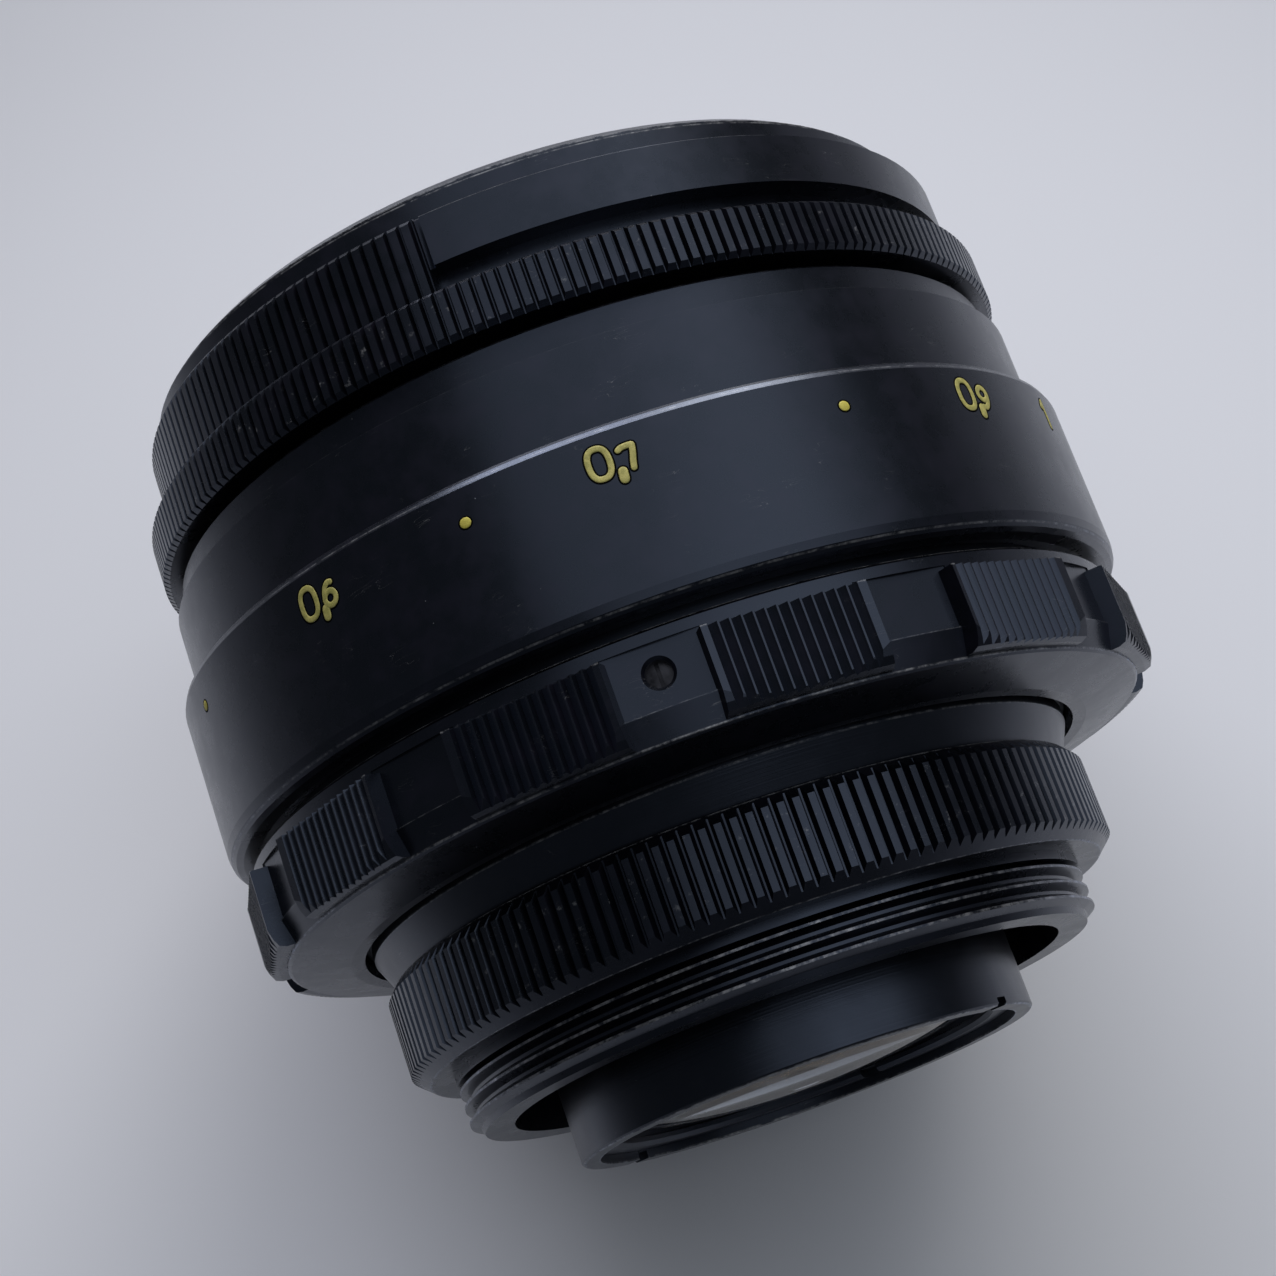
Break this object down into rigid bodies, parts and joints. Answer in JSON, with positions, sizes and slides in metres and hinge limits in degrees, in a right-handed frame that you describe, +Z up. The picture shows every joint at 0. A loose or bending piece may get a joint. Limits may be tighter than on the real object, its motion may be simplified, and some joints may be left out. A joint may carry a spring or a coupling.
{
  "type": "prime camera lens",
  "caption": "Manual screw-mount prime lens: knurled mount ring, helicoid focusing ring with grip pads, aperture and preset rings, recessed front glass, bladed iris.",
  "frame": {"origin": "centre of the flange that seats on the camera, on the optical axis", "axes": "+Y along the optical axis towards the front of the lens, +Z up with the lens lying on its side, +X to the right seen from behind"},
  "size_m": [0.061, 0.0552, 0.061],
  "materials": {
    "black_anodised": "satin black anodised aluminium",
    "satin_black": "satin black, fine turning lines",
    "brass": "greased",
    "blued_steel": "blued",
    "glass": "polished, coated"
  },
  "bodies": {
    "base": {"mount_ring": "black_anodised", "base_sleeve": "black_anodised", "guide_keys": "brass"},
    "block": {"lens_body": "satin_black", "index_barrel": "black_anodised", "front_barrel": "satin_black", "filter_ring": "black_anodised", "name_ring": "black_anodised", "front_cell": "satin_black", "front_element": "glass", "front_retainer": "black_anodised", "front_spacer": "satin_black", "front_doublet": "glass", "iris_housing": "satin_black", "rear_cell": "satin_black", "rear_doublet": "glass", "rear_spacer": "satin_black", "rear_element": "glass", "rear_retainer": "black_anodised", "focus_stop_screw": "blued_steel"},
    "focus": {"distance_ring": "black_anodised", "grip_ring": "black_anodised", "helicoid_ring": "brass", "focus_retainer": "satin_black", "grip_screws": "blued_steel"},
    "aperture": {"aperture_ring": "black_anodised", "drive_screw": "blued_steel", "drive_arm": "blued_steel", "cam_ring": "blued_steel"},
    "preset": {"preset_ring": "black_anodised"},
    "blade_1": {"blade_1": "blued_steel"},
    "blade_2": {"blade_2": "blued_steel"},
    "blade_3": {"blade_3": "blued_steel"},
    "blade_4": {"blade_4": "blued_steel"},
    "blade_5": {"blade_5": "blued_steel"},
    "blade_6": {"blade_6": "blued_steel"},
    "blade_7": {"blade_7": "blued_steel"},
    "blade_8": {"blade_8": "blued_steel"}
  },
  "joints": [
    {"name": "block_slide", "type": "slide", "parent": "base", "child": "block", "axis": [0, 1, 0], "range_m": [0, 0.00897]},
    {"name": "focus_turn", "type": "hinge", "parent": "block", "child": "focus", "pos_m": [0, 0.02, 0], "axis": [0, 1, 0], "range_deg": [0, 273.6]},
    {"name": "aperture_turn", "type": "hinge", "parent": "block", "child": "aperture", "pos_m": [0, 0.038, 0], "axis": [0, 1, 0], "range_deg": [0, 54]},
    {"name": "preset_turn", "type": "hinge", "parent": "block", "child": "preset", "pos_m": [0, 0.0425, 0], "axis": [0, 1, 0], "range_deg": [0, 54]},
    {"name": "blade_1_turn", "type": "hinge", "parent": "block", "child": "blade_1", "pos_m": [0, 0.0126, 0.0167], "axis": [0, 1, 0], "range_deg": [0, 33.2]},
    {"name": "blade_2_turn", "type": "hinge", "parent": "block", "child": "blade_2", "pos_m": [0.01181, 0.01275, 0.01181], "axis": [0, 1, 0], "range_deg": [0, 33.2]},
    {"name": "blade_3_turn", "type": "hinge", "parent": "block", "child": "blade_3", "pos_m": [0.0167, 0.0129, 0], "axis": [0, 1, 0], "range_deg": [0, 33.2]},
    {"name": "blade_4_turn", "type": "hinge", "parent": "block", "child": "blade_4", "pos_m": [0.01181, 0.01305, -0.01181], "axis": [0, 1, 0], "range_deg": [0, 33.2]},
    {"name": "blade_5_turn", "type": "hinge", "parent": "block", "child": "blade_5", "pos_m": [0, 0.0132, -0.0167], "axis": [0, 1, 0], "range_deg": [0, 33.2]},
    {"name": "blade_6_turn", "type": "hinge", "parent": "block", "child": "blade_6", "pos_m": [-0.01181, 0.01335, -0.01181], "axis": [0, 1, 0], "range_deg": [0, 33.2]},
    {"name": "blade_7_turn", "type": "hinge", "parent": "block", "child": "blade_7", "pos_m": [-0.0167, 0.0135, 0], "axis": [0, 1, 0], "range_deg": [0, 33.2]},
    {"name": "blade_8_turn", "type": "hinge", "parent": "block", "child": "blade_8", "pos_m": [-0.01181, 0.01365, 0.01181], "axis": [0, 1, 0], "range_deg": [0, 33.2]}
  ],
  "couplings": [
    {"joint": "block_slide", "follows": "focus_turn", "m_per_rad": 0.0018784},
    {"joint": "blade_1_turn", "follows": "aperture_turn", "ratio": 0.6148},
    {"joint": "blade_2_turn", "follows": "aperture_turn", "ratio": 0.6148},
    {"joint": "blade_3_turn", "follows": "aperture_turn", "ratio": 0.6148},
    {"joint": "blade_4_turn", "follows": "aperture_turn", "ratio": 0.6148},
    {"joint": "blade_5_turn", "follows": "aperture_turn", "ratio": 0.6148},
    {"joint": "blade_6_turn", "follows": "aperture_turn", "ratio": 0.6148},
    {"joint": "blade_7_turn", "follows": "aperture_turn", "ratio": 0.6148},
    {"joint": "blade_8_turn", "follows": "aperture_turn", "ratio": 0.6148}
  ]
}
